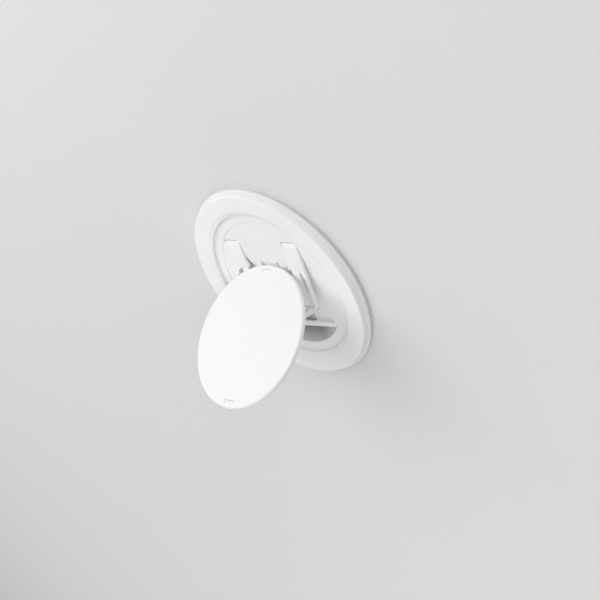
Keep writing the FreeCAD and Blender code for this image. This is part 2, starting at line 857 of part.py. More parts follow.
PARTS = [
    rear_pad,
    rear_cover,
    base_ring,
    ring_magnets,
    flux_ring,
    hinge_tray,
    well_pad,
    finger_pad,
    arm_pivot_pins,
    arm_right,
    arm_left,
    prop_shaft,
    prop_link,
    disc_pivot_pins,
    disc_carrier,
    disc_cover,
]
for item in doc.Objects:
    if "Invalid" in item.State or "Error" in item.State:
        raise RuntimeError("failed to build: %s %s" % (item.Name, item.State))
for piece in PARTS:
    if piece.Shape.isNull() or not piece.Shape.isValid():
        raise RuntimeError("bad shape: %s" % piece.Label)

os.makedirs("parts", exist_ok=True)
for piece in PARTS:
    piece.Shape.exportStep("parts/%s.step" % piece.Label)
    print("%-18s %8.2f mm3  %d solids" % (piece.Label, piece.Shape.Volume, len(piece.Shape.Solids)))
for name, place in zip(("arm", "prop", "disc"), open_hinges):
    print("%s hinge at y %.4f z %.4f" % (name, place[0], place[1]))
print("disc leans %.3f degrees" % disc_tilt.value)
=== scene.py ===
import json
import math

import bmesh
import bpy
import numpy as np
from mathutils import Matrix, Vector
from mathutils.geometry import delaunay_2d_cdt


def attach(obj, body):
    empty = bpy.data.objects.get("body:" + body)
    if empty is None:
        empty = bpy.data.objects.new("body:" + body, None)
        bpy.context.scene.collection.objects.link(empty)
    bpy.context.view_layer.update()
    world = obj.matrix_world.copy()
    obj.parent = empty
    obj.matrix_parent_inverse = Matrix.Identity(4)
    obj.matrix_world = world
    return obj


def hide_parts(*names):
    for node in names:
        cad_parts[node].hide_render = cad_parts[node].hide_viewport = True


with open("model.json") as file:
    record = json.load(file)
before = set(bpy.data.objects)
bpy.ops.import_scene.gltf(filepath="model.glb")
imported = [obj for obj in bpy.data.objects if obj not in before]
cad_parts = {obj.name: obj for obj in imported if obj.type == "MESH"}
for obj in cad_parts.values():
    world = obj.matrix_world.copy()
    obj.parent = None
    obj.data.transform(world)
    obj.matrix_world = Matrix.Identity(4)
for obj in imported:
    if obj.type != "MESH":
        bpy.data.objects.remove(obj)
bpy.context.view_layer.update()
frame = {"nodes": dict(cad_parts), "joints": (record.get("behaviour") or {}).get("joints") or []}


# Rear pad: a thin ring die-cut from soft pale elastomer sheet. It is bonded into a step
# under the rear cover and is the only face that meets the surface the grip is put on.
MM = 0.001
PAD_INNER = 20.5
PAD_OUTER = 28.9
PAD_THICK = 0.25
PAD_EDGE = 0.06


def box_corners(left, first, right, second):
    """The four corners of a rectangle: along its first edge from the left, then back along its
    second."""
    return np.array([(left, first), (right, first), (right, second), (left, second)], float)


def eased(corners, radii, steps=5):
    """A closed outline with rounded corners. Each corner becomes the arc that touches its two
    sides: the arc's start spoke turned about its centre, from zero to the whole swept angle."""
    corners = np.asarray(corners, float)
    radii = np.broadcast_to(np.asarray(radii, float), len(corners))
    runs = []
    before, after = np.roll(corners, 1, 0), np.roll(corners, -1, 0)
    for here, back, ahead, radius in zip(corners, before, after, radii):
        if radius <= 0:
            runs.append(here[None])
            continue
        to_back = (back - here) / np.linalg.norm(back - here)
        to_ahead = (ahead - here) / np.linalg.norm(ahead - here)
        half = 0.5 * np.arccos(np.clip(to_back @ to_ahead, -1, 1))
        middle = to_back + to_ahead
        centre = here + middle / np.linalg.norm(middle) * radius / np.sin(half)
        start = here + to_back * radius / np.tan(half) - centre
        end = here + to_ahead * radius / np.tan(half) - centre
        sweep = np.arctan2(start[0] * end[1] - start[1] * end[0], start @ end)
        turn = np.linspace(0, sweep, steps)
        across = start[0] * np.cos(turn) - start[1] * np.sin(turn)
        along = start[0] * np.sin(turn) + start[1] * np.cos(turn)
        runs.append(centre + np.stack([across, along], 1))
    return np.concatenate(runs)


def weave(rows, columns, close_columns):
    """Quads over a grid of points: row i joins row i + 1, and the last row joins the first."""
    i = np.arange(rows)[:, None]
    j = np.arange(columns if close_columns else columns - 1)[None, :]
    following = (i + 1) % rows
    beside = (j + 1) % columns
    row, next_row = i * columns, following * columns
    quads = [row + j, row + beside, next_row + beside, next_row + j]
    return np.stack(np.broadcast_arrays(*quads), -1).reshape(-1, 4).tolist()


def lathe(section, turns=192):
    """A turned solid: the half section (r, z) carried round Z as (r cos a, r sin a, z). A section
    that begins and ends on the axis gets one point at each pole and a fan of triangles there."""
    section = np.asarray(section, float)
    on_axis = section[0, 0] == 0 and section[-1, 0] == 0
    rings = section[1:-1] if on_axis else section
    angle = np.linspace(0, 2 * np.pi, turns, endpoint=False)[:, None]
    across, along = np.cos(angle) * rings[:, 0], np.sin(angle) * rings[:, 0]
    grid = np.stack(np.broadcast_arrays(across, along, rings[:, 1]), -1)
    points = grid.reshape(-1, 3)
    count = len(rings)
    faces = weave(turns, count, close_columns=not on_axis)
    if on_axis:
        poles = np.array([[0, 0, section[0, 1]], [0, 0, section[-1, 1]]])
        here = np.arange(turns)
        following = (here + 1) % turns
        first_pole, last_pole = np.full(turns, len(points)), np.full(turns, len(points) + 1)
        first = np.stack([first_pole, following * count, here * count], 1)
        last = np.stack([last_pole, (here + 1) * count - 1, (following + 1) * count - 1], 1)
        points = np.concatenate([points, poles])
        faces = faces + first.tolist() + last.tolist()
    return points, faces


def shell_mesh(name, shells):
    """One mesh from closed shells given in millimetres, with every face turned outwards."""
    points, faces, start = [], [], 0
    for shell_points, shell_faces in shells:
        points.append(shell_points)
        faces += [[index + start for index in face] for face in shell_faces]
        start += len(shell_points)
    mesh = bpy.data.meshes.new(name)
    mesh.from_pydata((np.concatenate(points) * MM).tolist(), [], faces)
    work = bmesh.new()
    work.from_mesh(mesh)
    bmesh.ops.recalc_face_normals(work, faces=work.faces)
    work.to_mesh(mesh)
    work.free()
    return shaded(mesh)


def shaded(mesh):
    """Smooth shading over rounded and turned faces, flat shading on faces square to an axis."""
    normals = np.empty(len(mesh.polygons) * 3, np.float32)
    mesh.polygons.foreach_get("normal", normals)
    mesh.polygons.foreach_set("use_smooth", np.abs(normals.reshape(-1, 3)).max(1) < 0.9999)
    mesh.set_sharp_from_angle(angle=math.radians(40))
    return mesh


def fit_piece(name, mesh, material, body, nodes):
    """Puts a finished mesh in the scene with its material, riding on its body."""
    mesh.materials.clear()
    mesh.materials.append(material)
    piece = bpy.data.objects.new(name, mesh)
    bpy.context.scene.collection.objects.link(piece)
    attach(piece, body)
    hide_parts(*nodes)
    return piece


def grained(name, pale, deep, rough_low, rough_high, grain, relief, stretch=(1, 1, 1)):
    """A finish: broad cloudy tone between two colours, roughness that follows a fine grain, and the
    same grain as shallow relief. The grain is in metres and may be stretched along an axis."""
    material = bpy.data.materials.new(name)
    material.use_nodes = True
    nodes, links = material.node_tree.nodes, material.node_tree.links
    shader = nodes["Principled BSDF"]
    place = nodes.new("ShaderNodeTexCoord")
    drawn = nodes.new("ShaderNodeMapping")
    drawn.inputs["Scale"].default_value = stretch
    links.new(place.outputs["Object"], drawn.inputs["Vector"])
    cloud = nodes.new("ShaderNodeTexNoise")
    cloud.inputs["Scale"].default_value = 110
    cloud.inputs["Detail"].default_value = 3
    links.new(place.outputs["Object"], cloud.inputs["Vector"])
    speck = nodes.new("ShaderNodeTexNoise")
    speck.inputs["Scale"].default_value = 1 / grain
    speck.inputs["Detail"].default_value = 4
    links.new(drawn.outputs["Vector"], speck.inputs["Vector"])
    tone = nodes.new("ShaderNodeMix")
    tone.data_type = "RGBA"
    tone.inputs["A"].default_value = (*deep, 1)
    tone.inputs["B"].default_value = (*pale, 1)
    links.new(cloud.outputs["Fac"], tone.inputs["Factor"])
    links.new(tone.outputs["Result"], shader.inputs["Base Color"])
    gloss = nodes.new("ShaderNodeMapRange")
    gloss.inputs["From Min"].default_value = 0.3
    gloss.inputs["From Max"].default_value = 0.7
    gloss.inputs["To Min"].default_value = rough_low
    gloss.inputs["To Max"].default_value = rough_high
    links.new(speck.outputs["Fac"], gloss.inputs["Value"])
    links.new(gloss.outputs["Result"], shader.inputs["Roughness"])
    raised = nodes.new("ShaderNodeBump")
    raised.inputs["Strength"].default_value = relief
    raised.inputs["Distance"].default_value = grain * 0.25
    links.new(speck.outputs["Fac"], raised.inputs["Height"])
    links.new(raised.outputs["Normal"], shader.inputs["Normal"])
    return material


pad_section = eased(box_corners(PAD_INNER, 0, PAD_OUTER, PAD_THICK), PAD_EDGE)
pad = shell_mesh("contact_pad", [lathe(pad_section)])
soft_sheet = grained(
    "soft_pale_sheet", (0.80, 0.80, 0.79), (0.74, 0.74, 0.73), 0.6, 0.75, 0.00018, 0.25
)
fit_piece("contact_pad", pad, soft_sheet, "base", ["rear_pad"])


# Rear cover: the moulded dish that closes the base. Its flange shows as the thin band below the
# parting line, and its floor, with a shallow well, shows through the openings of the tray.
COVER_OUTER = 29.0
COVER_UNDER = 0.05
COVER_SHELF = 20.45
COVER_GROOVE = 28.5
COVER_WALL = 27.95
COVER_TOP = 0.5
COVER_SKIN, COVER_OVERLAP = 0.05, 0.02
FLANGE_TOP = 1.4
WELL_HALF, WELL_LOW, WELL_HIGH = 6.3, -13.8, 3.453


def inset(outline, amount):
    """A closed outline moved to its own left by an amount, each point along its sides' mitre."""
    along = np.roll(outline, -1, 0) - outline
    along = along / np.linalg.norm(along, axis=1, keepdims=True)
    left = np.stack([-along[:, 1], along[:, 0]], 1)
    left_before = np.roll(left, 1, 0)
    mitre = (left + left_before) / (1 + (left * left_before).sum(1, keepdims=True))
    return outline + amount * mitre


def facing(outline, inward_left):
    """The outline run so that solid material lies on its left: outer edges one way, openings the
    other."""
    ahead = np.roll(outline, -1, 0)
    area = (outline[:, 0] * ahead[:, 1] - ahead[:, 0] * outline[:, 1]).sum()
    return outline if (area > 0) == inward_left else outline[::-1]


def within(points, outlines):
    """Which points lie in the solid: a ray to the right crosses the outlines an odd number of
    times."""
    odd = np.zeros(len(points), bool)
    for outline in outlines:
        ahead = np.roll(outline, -1, 0)
        low, high = outline[:, 1] > points[:, 1:2], ahead[:, 1] > points[:, 1:2]
        rise = np.where(ahead[:, 1] == outline[:, 1], 1, ahead[:, 1] - outline[:, 1])
        share = (points[:, 1:2] - outline[:, 1]) / rise
        meet = outline[:, 0] + share * (ahead[:, 0] - outline[:, 0])
        odd ^= ((low != high) & (points[:, 0:1] < meet)).sum(1) % 2 == 1
    return odd


def slab(outer, openings, low, high, edge, steps=6):
    """A flat plate with rounded edges: a quarter-round, wall, quarter-round profile carried along
    every outline, and flat faces filled between the inset outlines at the top and the bottom."""
    outlines = [facing(np.asarray(outer, float), True)]
    outlines += [facing(np.asarray(opening, float), False) for opening in openings]
    turn = np.linspace(0, np.pi / 2, steps)
    depth = np.concatenate([edge * (1 - np.sin(turn)), edge * (1 - np.cos(turn))])
    level = np.concatenate([high - edge * (1 - np.cos(turn)), low + edge * (1 - np.sin(turn))])
    points, faces, tops, start = [], [], [], 0
    for outline in outlines:
        rows = np.stack([inset(outline, d) for d in depth], 1)
        levels = np.broadcast_to(level[None, :, None], (len(outline), len(depth), 1))
        points.append(np.concatenate([rows, levels], 2).reshape(-1, 3))
        walls = weave(len(outline), len(depth), close_columns=False)
        faces += [[index + start for index in quad] for quad in walls]
        tops.append(start + np.arange(len(outline)) * len(depth))
        start += len(outline) * len(depth)
    points = np.concatenate(points)
    rim = np.concatenate(tops)
    flat = points[rim, :2]
    sizes = np.array([len(outline) for outline in outlines])
    offset = np.repeat(np.cumsum(sizes) - sizes, sizes)
    index = np.arange(len(flat)) - offset
    edges = np.stack([index + offset, (index + 1) % np.repeat(sizes, sizes) + offset], 1)
    filled = delaunay_2d_cdt([Vector(point) for point in flat], edges.tolist(), [], 0, 1e-7)
    source = np.array([origin[0] for origin in filled[3]])
    triangles = source[np.array(filled[2])]
    rims = [flat[offset == first] for first in np.unique(offset)]
    kept = triangles[within(flat[triangles].mean(1), rims)]
    faces += rim[kept].tolist() + (rim[kept] + len(depth) - 1).tolist()
    return points, faces


def circle(radius, count=192):
    """A round outline: radius times (cos a, sin a)."""
    angle = np.linspace(0, 2 * np.pi, count, endpoint=False)
    return radius * np.stack([np.cos(angle), np.sin(angle)], 1)


dish_loop = eased(
    [
        (0, COVER_UNDER),
        (COVER_SHELF, COVER_UNDER),
        (COVER_SHELF, PAD_THICK),
        (COVER_GROOVE, PAD_THICK),
        (COVER_GROOVE, COVER_TOP),
        (COVER_OUTER, COVER_TOP),
        (COVER_OUTER, FLANGE_TOP),
        (COVER_WALL, FLANGE_TOP),
        (COVER_WALL, PAD_THICK + COVER_SKIN),
        (0, PAD_THICK + COVER_SKIN),
    ],
    [0, 0.05, 0.05, 0.05, 0.05, 0.18, 0.16, 0.05, 0.02, 0],
)
well = eased(box_corners(-WELL_HALF, WELL_LOW, WELL_HALF, WELL_HIGH), 0.5)
cover_floor = slab(circle(COVER_WALL + COVER_OVERLAP), [well], PAD_THICK, COVER_TOP, 0.05)
satin_white = grained(
    "satin_white_mould", (0.90, 0.90, 0.90), (0.87, 0.87, 0.87), 0.40, 0.52, 0.00012, 0.12
)
cover = shell_mesh("cover_dish", [lathe(dish_loop), cover_floor])
fit_piece("cover_dish", cover, satin_white, "base", ["rear_cover"])


# Magnets and flux ring: nickel-plated arc magnets stand in a circle on the rear cover, with a plain
# steel ring laid on them. They are sealed inside the base and keep the shapes of the model.
DRAWN_ALONG_X = (0.05, 1, 1)
nickel = grained("nickel_plate", (0.66, 0.65, 0.62), (0.58, 0.57, 0.55), 0.18, 0.3, 0.0003, 0.05)
drawn_steel = grained(
    "drawn_steel", (0.62, 0.62, 0.63), (0.52, 0.52, 0.53), 0.25, 0.42, 0.00006, 0.1, DRAWN_ALONG_X
)
for metal in (nickel, drawn_steel):
    metal.node_tree.nodes["Principled BSDF"].inputs["Metallic"].default_value = 1


def finish_node(name, material):
    """Gives a piece that keeps the model's own shape its finish."""
    mesh = frame["nodes"][name].data
    mesh.materials.clear()
    mesh.materials.append(material)


finish_node("ring_magnets", nickel)
finish_node("flux_ring", drawn_steel)


# Base ring: the satin white moulded shell over the magnets. It has a tapered side, a soft outer
# edge, a flat top and a bevel down to the bore, and it presses into the rear cover's flange.
RING_BORE = 22.2
RING_FLAT = 23.57
RING_TOP = 3.05
RING_BEVEL = 2.5
RING_SHOULDER = 28.15
RING_FOOT = 28.75
CHANNEL_INNER, CHANNEL_OUTER, CHANNEL_ROOF = 22.9, 27.3, 2.45
SPIGOT_OUTER, SPIGOT_LOW = 27.9, 0.9
ring_section = eased(
    [
        (RING_BORE, COVER_TOP),
        (CHANNEL_INNER, COVER_TOP),
        (CHANNEL_INNER, CHANNEL_ROOF),
        (CHANNEL_OUTER, CHANNEL_ROOF),
        (CHANNEL_OUTER, SPIGOT_LOW),
        (SPIGOT_OUTER, SPIGOT_LOW),
        (SPIGOT_OUTER, FLANGE_TOP),
        (RING_FOOT, FLANGE_TOP),
        (RING_SHOULDER, RING_TOP),
        (RING_FLAT, RING_TOP),
        (RING_BORE, RING_BEVEL),
    ],
    [0.05, 0.05, 0.1, 0.1, 0.05, 0.05, 0.03, 0.08, 0.5, 0.14, 0.12],
    steps=7,
)
ring = shell_mesh("ring_shell", [lathe(ring_section, turns=256)])
fit_piece("ring_shell", ring, satin_white, "base", ["base_ring"])


# Hinge tray: the moulded floor glued inside the ring. It has a raised ledge round its edge, a nest
# cut through for the arms and the prop, a nose that stops the disc, and a D-shaped finger scoop.
TRAY_RIM = 22.19
TRAY_FLOOR_RADIUS, FLOOR_OVERLAP = 19.4, 0.8
LEDGE_TOP = 1.7
FLOOR_TOP = 1.5
NEST_SIDE, NEST_TOP, NEST_BOTTOM = 13.9, 13.4, -12.0
TONGUE_HALF, TONGUE_END = 8.3, 5.2
NOTCH_HALF, NOTCH_TOP = 3.5, 6.753
NOSE_HALF, NOSE_LOW, NOSE_HIGH, NOSE_TOE, NOSE_TOP = 2.4, 6.653, 7.503, 1.47, 1.6
TOE_END, TOE_TOP = 5.3, 1.15
LEDGE_LIFT, NOSE_LIFT = 0.04, 0.07
SCOOP_MIDDLE, SCOOP_LEVEL, SCOOP_RADIUS = -13.8, -13.2, 19.2
BRIDGE_UNDER = 1.0
CUT_BELOW, CUT_BESIDE, CUT_ABOVE, CUT_SKIN = 0.3, 0.5, 1.0, 0.02


def fuse(name, shells, cuts=(), added=()):
    """One mesh from shells that overlap: united in turn, then the cuts taken away, then more
    united. Points that this leaves on top of one another are merged."""
    blank = bpy.data.objects.new(name, shell_mesh(name, shells[:1]))
    bpy.context.scene.collection.objects.link(blank)
    tools = []
    for operation, group in (("UNION", shells[1:]), ("DIFFERENCE", cuts), ("UNION", added)):
        for shell in group:
            tool = bpy.data.objects.new("tool", shell_mesh("tool", [shell]))
            bpy.context.scene.collection.objects.link(tool)
            step = blank.modifiers.new("step", "BOOLEAN")
            step.operation = operation
            step.solver = "EXACT"
            step.object = tool
            tools.append(tool)
    seen = blank.evaluated_get(bpy.context.evaluated_depsgraph_get())
    mesh = bpy.data.meshes.new_from_object(seen)
    for item in [blank] + tools:
        bpy.data.objects.remove(item)
    mesh.name = name
    work = bmesh.new()
    work.from_mesh(mesh)
    bmesh.ops.remove_doubles(work, verts=work.verts, dist=2e-7)
    bmesh.ops.dissolve_degenerate(work, dist=1e-7, edges=work.edges)
    work.to_mesh(mesh)
    work.free()
    return shaded(mesh)


def mirrored(half):
    """A right-hand run of corners followed by its mirror image, back up the left-hand side."""
    half = np.asarray(half, float)
    return np.concatenate([half, half[::-1] * (-1, 1)])


def crossways(shell):
    """A solid drawn in plan and height, laid over so that its height runs along X: (h, a, b)."""
    points, faces = shell
    return points[:, [2, 0, 1]], faces


nest_half = [
    (NOTCH_HALF, NOTCH_TOP),
    (NOTCH_HALF, TONGUE_END),
    (TONGUE_HALF, TONGUE_END),
    (TONGUE_HALF, NEST_TOP),
    (NEST_SIDE, NEST_TOP),
    (NEST_SIDE, NEST_BOTTOM),
]
nest_radii = np.array([0.3, 0.3, 3.8, 0.25, 0.25, 0.25])
nest = eased(mirrored(nest_half), np.concatenate([nest_radii, nest_radii[::-1]]), steps=9)


def scoop_plan(gap):
    """The scoop's D shape, drawn in by a gap: an arc about the middle, closed by two straight runs
    that meet below the bridge."""
    radius = SCOOP_RADIUS - gap
    level = SCOOP_LEVEL - gap
    start = math.atan2(level, math.sqrt(radius ** 2 - level ** 2))
    turn = np.linspace(start, -math.pi - start, 65)
    arc = radius * np.stack([np.cos(turn), np.sin(turn)], 1)
    return np.concatenate([arc, [(0, SCOOP_MIDDLE - gap)]])


scoop = scoop_plan(0)
tray_plan = circle(TRAY_FLOOR_RADIUS + FLOOR_OVERLAP)
tray_floor = slab(tray_plan, [nest, scoop], COVER_TOP, FLOOR_TOP, 0.1)
ledge_corners = box_corners(TRAY_FLOOR_RADIUS, COVER_TOP + LEDGE_LIFT, TRAY_RIM, LEDGE_TOP)
ledge = lathe(eased(ledge_corners, [0.03, 0.03, 0.02, 0.12]), turns=250)
nose_side = [
    (TOE_END, COVER_TOP + NOSE_LIFT),
    (NOSE_HIGH, COVER_TOP + NOSE_LIFT),
    (NOSE_HIGH, NOSE_TOP),
    (NOSE_LOW, NOSE_TOE),
    (TOE_END, TOE_TOP),
]
nose_outline = eased(nose_side, [0.05, 0.05, 0.06, 0.1, 0.1])
nose = crossways(slab(nose_outline, [], -NOSE_HALF, NOSE_HALF, 0.04))
prong_plan = inset(facing(nest, True), CUT_SKIN)
prong_room = slab(prong_plan, [], COVER_TOP - CUT_BELOW, LEDGE_TOP + CUT_ABOVE, 0.01)
arch_corners = box_corners(
    -WELL_HALF, SCOOP_MIDDLE - CUT_BESIDE, WELL_HALF, NEST_BOTTOM + CUT_BESIDE
)
arch = slab(eased(arch_corners, 0.1), [], COVER_TOP - CUT_BELOW, BRIDGE_UNDER, 0.02)
tray = fuse("tray_floor", [tray_floor, ledge], [prong_room, arch], [nose])
fit_piece("tray_floor", tray, satin_white, "base", ["hinge_tray"])


# Soft pads: a thin grey sheet in the rear cover's well, and a grey finger pad in the scoop whose
# dished face rises from the bridge to the round edge. Their grey is partly painted shade for the
# depth of these openings. Both are painted paler towards their sides and darker in the middle,
# and the finger pad darker near the bridge: painted shade.
FINGER_LOW, FINGER_TOP, FINGER_GAP = 0.65, 1.42, 0.05
DISH_TOP = 2.2
FINGER_SHADE_REACH = (7.5, 12.8)
WELL_SHADE_REACH = (2.5, 6.3)


def paint_middle_shade(material, reach, top):
    """Paints shade into a finish: paler away from the middle plane, darker in the middle. The pale
    colour's share follows the distance from that plane, from nothing where the reach starts to the
    top share where it ends."""
    nodes, links = material.node_tree.nodes, material.node_tree.links
    split = nodes.new("ShaderNodeSeparateXYZ")
    links.new(nodes["Texture Coordinate"].outputs["Object"], split.inputs["Vector"])
    aside = nodes.new("ShaderNodeMath")
    aside.operation = "ABSOLUTE"
    links.new(split.outputs["X"], aside.inputs[0])
    share = nodes.new("ShaderNodeMapRange")
    share.inputs["From Min"].default_value = reach[0] * MM
    share.inputs["From Max"].default_value = reach[1] * MM
    share.inputs["To Max"].default_value = top
    links.new(aside.outputs["Value"], share.inputs["Value"])
    links.new(share.outputs["Result"], nodes["Mix"].inputs["Factor"])
    return split, share


# Painted shade: the well pad's grey is partly shade deep in the well, and it is painted darker in
# its middle.
well_grey = grained(
    "well_grey", (0.64, 0.64, 0.65), (0.40, 0.40, 0.41), 0.62, 0.78, 0.00015, 0.3
)
paint_middle_shade(well_grey, WELL_SHADE_REACH, 1.0)
finish_node("well_pad", well_grey)

# Painted shade: the finger pad's grey is partly shade deep in the scoop. It is painted darker in its
# middle and near the bridge.
finger_grey = grained(
    "finger_grey", (0.58, 0.58, 0.59), (0.19, 0.19, 0.20), 0.62, 0.78, 0.00015, 0.3
)
split, middle_shade_share = paint_middle_shade(finger_grey, FINGER_SHADE_REACH, 0.85)
nodes, links = finger_grey.node_tree.nodes, finger_grey.node_tree.links
# Painted shade: darker near the bridge, paler towards the round edge.
bridge_shade_share = nodes.new("ShaderNodeMapRange")
bridge_shade_share.inputs["From Min"].default_value = SCOOP_MIDDLE * MM
bridge_shade_share.inputs["From Max"].default_value = -SCOOP_RADIUS * MM
bridge_shade_share.inputs["To Max"].default_value = 0.8
links.new(split.outputs["Y"], bridge_shade_share.inputs["Value"])
both = nodes.new("ShaderNodeMath")
both.operation = "ADD"
both.use_clamp = True
links.new(bridge_shade_share.outputs["Result"], both.inputs[0])
links.new(middle_shade_share.outputs["Result"], both.inputs[1])
links.new(both.outputs["Value"], nodes["Mix"].inputs["Factor"])
finger_block = slab(scoop_plan(FINGER_GAP), [], COVER_TOP, FINGER_TOP, 0.04)
dish_section = [
    (0, FINGER_LOW),
    (-SCOOP_MIDDLE, FINGER_LOW),
    (SCOOP_RADIUS, FINGER_TOP),
    (SCOOP_RADIUS, DISH_TOP),
    (0, DISH_TOP),
]
finger = fuse("finger_dish", [finger_block], [lathe(dish_section, turns=256)])
fit_piece("finger_dish", finger, finger_grey, "base", ["finger_pad"])


# Arm pins: two short steel pins pressed into the tray. The prongs of the arms turn on them,
# and only their ends can be seen, in the narrow gaps beside the prongs.
finish_node("arm_pivot_pins", drawn_steel)


# Swing arms: two white coated steel bars. Each has a flat prong on the base pivot, an outer rail
# down to the shaft, a long slot that takes the prop's leg, and a thinner inner rail.
ARM_OUTER, ARM_INNER = 13.75, 8.45
SLOT_OUTER, SLOT_INNER = 12.43, 11.1
ARM_LOW, ARM_HIGH = 0.58, 1.48
SLOT_TOP, SHOULDER, RAIL_END = 4.67, 5.42, -4.85
FLARE, FLARE_LENGTH = 0.8, 2.6
RAIL_HIGH, RAIL_OVERLAP = 1.18, 0.6
REBATE_OUTER, REBATE_LOW, REBATE_HIGH, REBATE_FLOOR = 13.3, -5.1, 3.27, 0.98
REBATE_MOUTH, REBATE_OPEN = 0.3, 2.0
KNUCKLE_RADIUS, KNUCKLE_EDGE, TIP_OVERLAP = 0.45, 0.06, 0.06
SKIN = 0.012
CREASE_RADIUS, CREASE_BACK, CREASE_LIFT = 0.25, 0.33, 0.16
PIN_BORE, SHAFT_SEAT, BORE_TURNS, BORE_PAST = 0.32, 0.29, 27, 1.0
HINGE_HEIGHT = 1.03
ARM_HINGE, SHAFT_HINGE, DISC_HINGE = 12.6, -5.6, 3.97
ARM_SWING = -9.4
hinges = {joint["name"]: Vector(joint["pos_m"]) for joint in frame["joints"]}


def rod(radius, start, end, y, z=HINGE_HEIGHT, edge=0.0, turns=32):
    """A round bar along X: a turned section, with chamfered ends where an edge is given, laid over
    and moved to its place."""
    neck = radius - edge
    if edge:
        run = [(neck, start), (radius, start + edge), (radius, end - edge), (neck, end)]
    else:
        run = [(radius, start), (radius, end)]
    points, faces = crossways(lathe([(0, start), *run, (0, end)], turns))
    return points + (0, y, z), faces


def swing_open(mesh, flat_y, degrees, hinge):
    """Turns a piece drawn folded flat about its hinge line, and carries that line to its open
    place."""
    turn = Matrix.Rotation(math.radians(degrees), 4, "X")
    folded = Matrix.Translation((0, -flat_y * MM, -HINGE_HEIGHT * MM))
    mesh.transform(Matrix.Translation((0, hinge.y, hinge.z)) @ turn @ folded)
    return mesh


def arm_bar(side):
    """One arm: a flat plate for the prong and the outer rail, a thinner one for the inner rail and a
    round bar at each hinge, less the rebate for the prop's flange, the crease behind the tip and
    the bores. The bores have fewer facets than the round bars, so that their edges don't line up."""
    flip = np.array([side, 1])
    bar_corners = [
        (ARM_INNER, ARM_HINGE + TIP_OVERLAP),
        (ARM_OUTER, ARM_HINGE + TIP_OVERLAP),
        (ARM_OUTER, SHAFT_HINGE),
        (SLOT_OUTER, SHAFT_HINGE),
        (SLOT_OUTER, SLOT_TOP),
        (SLOT_INNER, SLOT_TOP),
        (SLOT_INNER, SHOULDER),
        (ARM_INNER - FLARE, SHOULDER),
        (ARM_INNER, SHOULDER + FLARE_LENGTH),
    ]
    bar_plan = eased(bar_corners, [0.1, 0.1, 0.1, 0.1, 0.5, 0.5, 0, 0.2, 3], 9)
    bar = slab(bar_plan * flip, [], ARM_LOW, ARM_HIGH, 0.08)
    near, far = ARM_INNER + SKIN, SLOT_INNER - SKIN
    rail_plan = eased(box_corners(near, SHOULDER + RAIL_OVERLAP, far, RAIL_END), [0, 0, 0.2, 0.2])
    rail = slab(rail_plan * flip, [], ARM_LOW + SKIN, RAIL_HIGH, 0.1)
    knuckles = []
    for inner, hinge in ((ARM_INNER, ARM_HINGE), (SLOT_OUTER, SHAFT_HINGE)):
        ends = sorted((side * (inner + SKIN), side * (ARM_OUTER - SKIN)))
        knuckles.append(rod(KNUCKLE_RADIUS - SKIN, *ends, hinge, edge=KNUCKLE_EDGE))
    rebate_corners = box_corners(SLOT_OUTER - REBATE_MOUTH, REBATE_LOW, REBATE_OUTER, REBATE_HIGH)
    rebate = slab(eased(rebate_corners, 0.05) * flip, [], REBATE_FLOOR, REBATE_OPEN, 0.02)
    reach = sorted((side * (ARM_INNER - BORE_PAST), side * (ARM_OUTER + BORE_PAST)))
    crease = rod(CREASE_RADIUS, *reach, ARM_HINGE - CREASE_BACK, ARM_HIGH + CREASE_LIFT)
    pin_bore = rod(PIN_BORE, *reach, ARM_HINGE, turns=BORE_TURNS)
    shaft_seat = rod(SHAFT_SEAT, *reach, SHAFT_HINGE, turns=BORE_TURNS)
    return fuse("arm_bar", [bar, rail, *knuckles], [rebate, crease, pin_bore, shaft_seat])


coated_white = grained(
    "coated_white_steel", (0.91, 0.91, 0.91), (0.88, 0.88, 0.88), 0.34, 0.46, 0.00025, 0.14
)
for hand, side in (("right", 1), ("left", -1)):
    bar = swing_open(arm_bar(side), ARM_HINGE, ARM_SWING, hinges["arm_hinge"])
    fit_piece("arm_bar_" + hand, bar, coated_white, "arms", ["swing_arm_" + hand])


# Prop shaft: one drawn steel shaft pressed through both outer rails. It carries the prop's root,
# and its plain ends show in the rails.
finish_node("prop_shaft", drawn_steel)


# Prop: a U-shaped piece of the same coated steel. Its round root turns on the shaft, its legs fold
# into the arms' slots, with a flange that lies on the outer rail, and a low web keeps it stiff.
LEG_OUTER, LEG_INNER, KNUCKLE_INNER = 12.31, 11.22, 11.80
LEG_LOW, LEG_HIGH = 0.615, 1.445
FORK = 3.22
WEB_HALF, WEB_TOP, LEG_FOOT = 8.33, -3.0, -5.375
ROOT_OVERLAP = 0.25
FLANGE_INNER, FLANGE_OUTER, FLANGE_LOW, FLANGE_HIGH = 12.1, 13.2, -4.8, 3.17
FLANGE_UNDER = 1.08
SHAFT_BORE, DISC_PIN_SEAT, PROP_REACH = 0.32, 0.26, 13.5
PROP_SWING = 81.9
prop_half = [
    (LEG_OUTER, SHAFT_HINGE - ROOT_OVERLAP),
    (LEG_OUTER, DISC_HINGE),
    (KNUCKLE_INNER, DISC_HINGE),
    (KNUCKLE_INNER, FORK),
    (LEG_INNER, FORK),
    (LEG_INNER, LEG_FOOT),
    (WEB_HALF, LEG_FOOT),
    (WEB_HALF, WEB_TOP),
]
prop_radii = np.array([0, 0, 0, 0.2, 0.2, 0.3, 0.3, 0.5])
prop_plan = eased(mirrored(prop_half), np.concatenate([prop_radii, prop_radii[::-1]]))
near, far = KNUCKLE_INNER + SKIN, LEG_OUTER - SKIN
prop_shells = [slab(prop_plan, [], LEG_LOW, LEG_HIGH, 0.12)]
bars = [(-far, far, SHAFT_HINGE), (near, far, DISC_HINGE), (-far, -near, DISC_HINGE)]
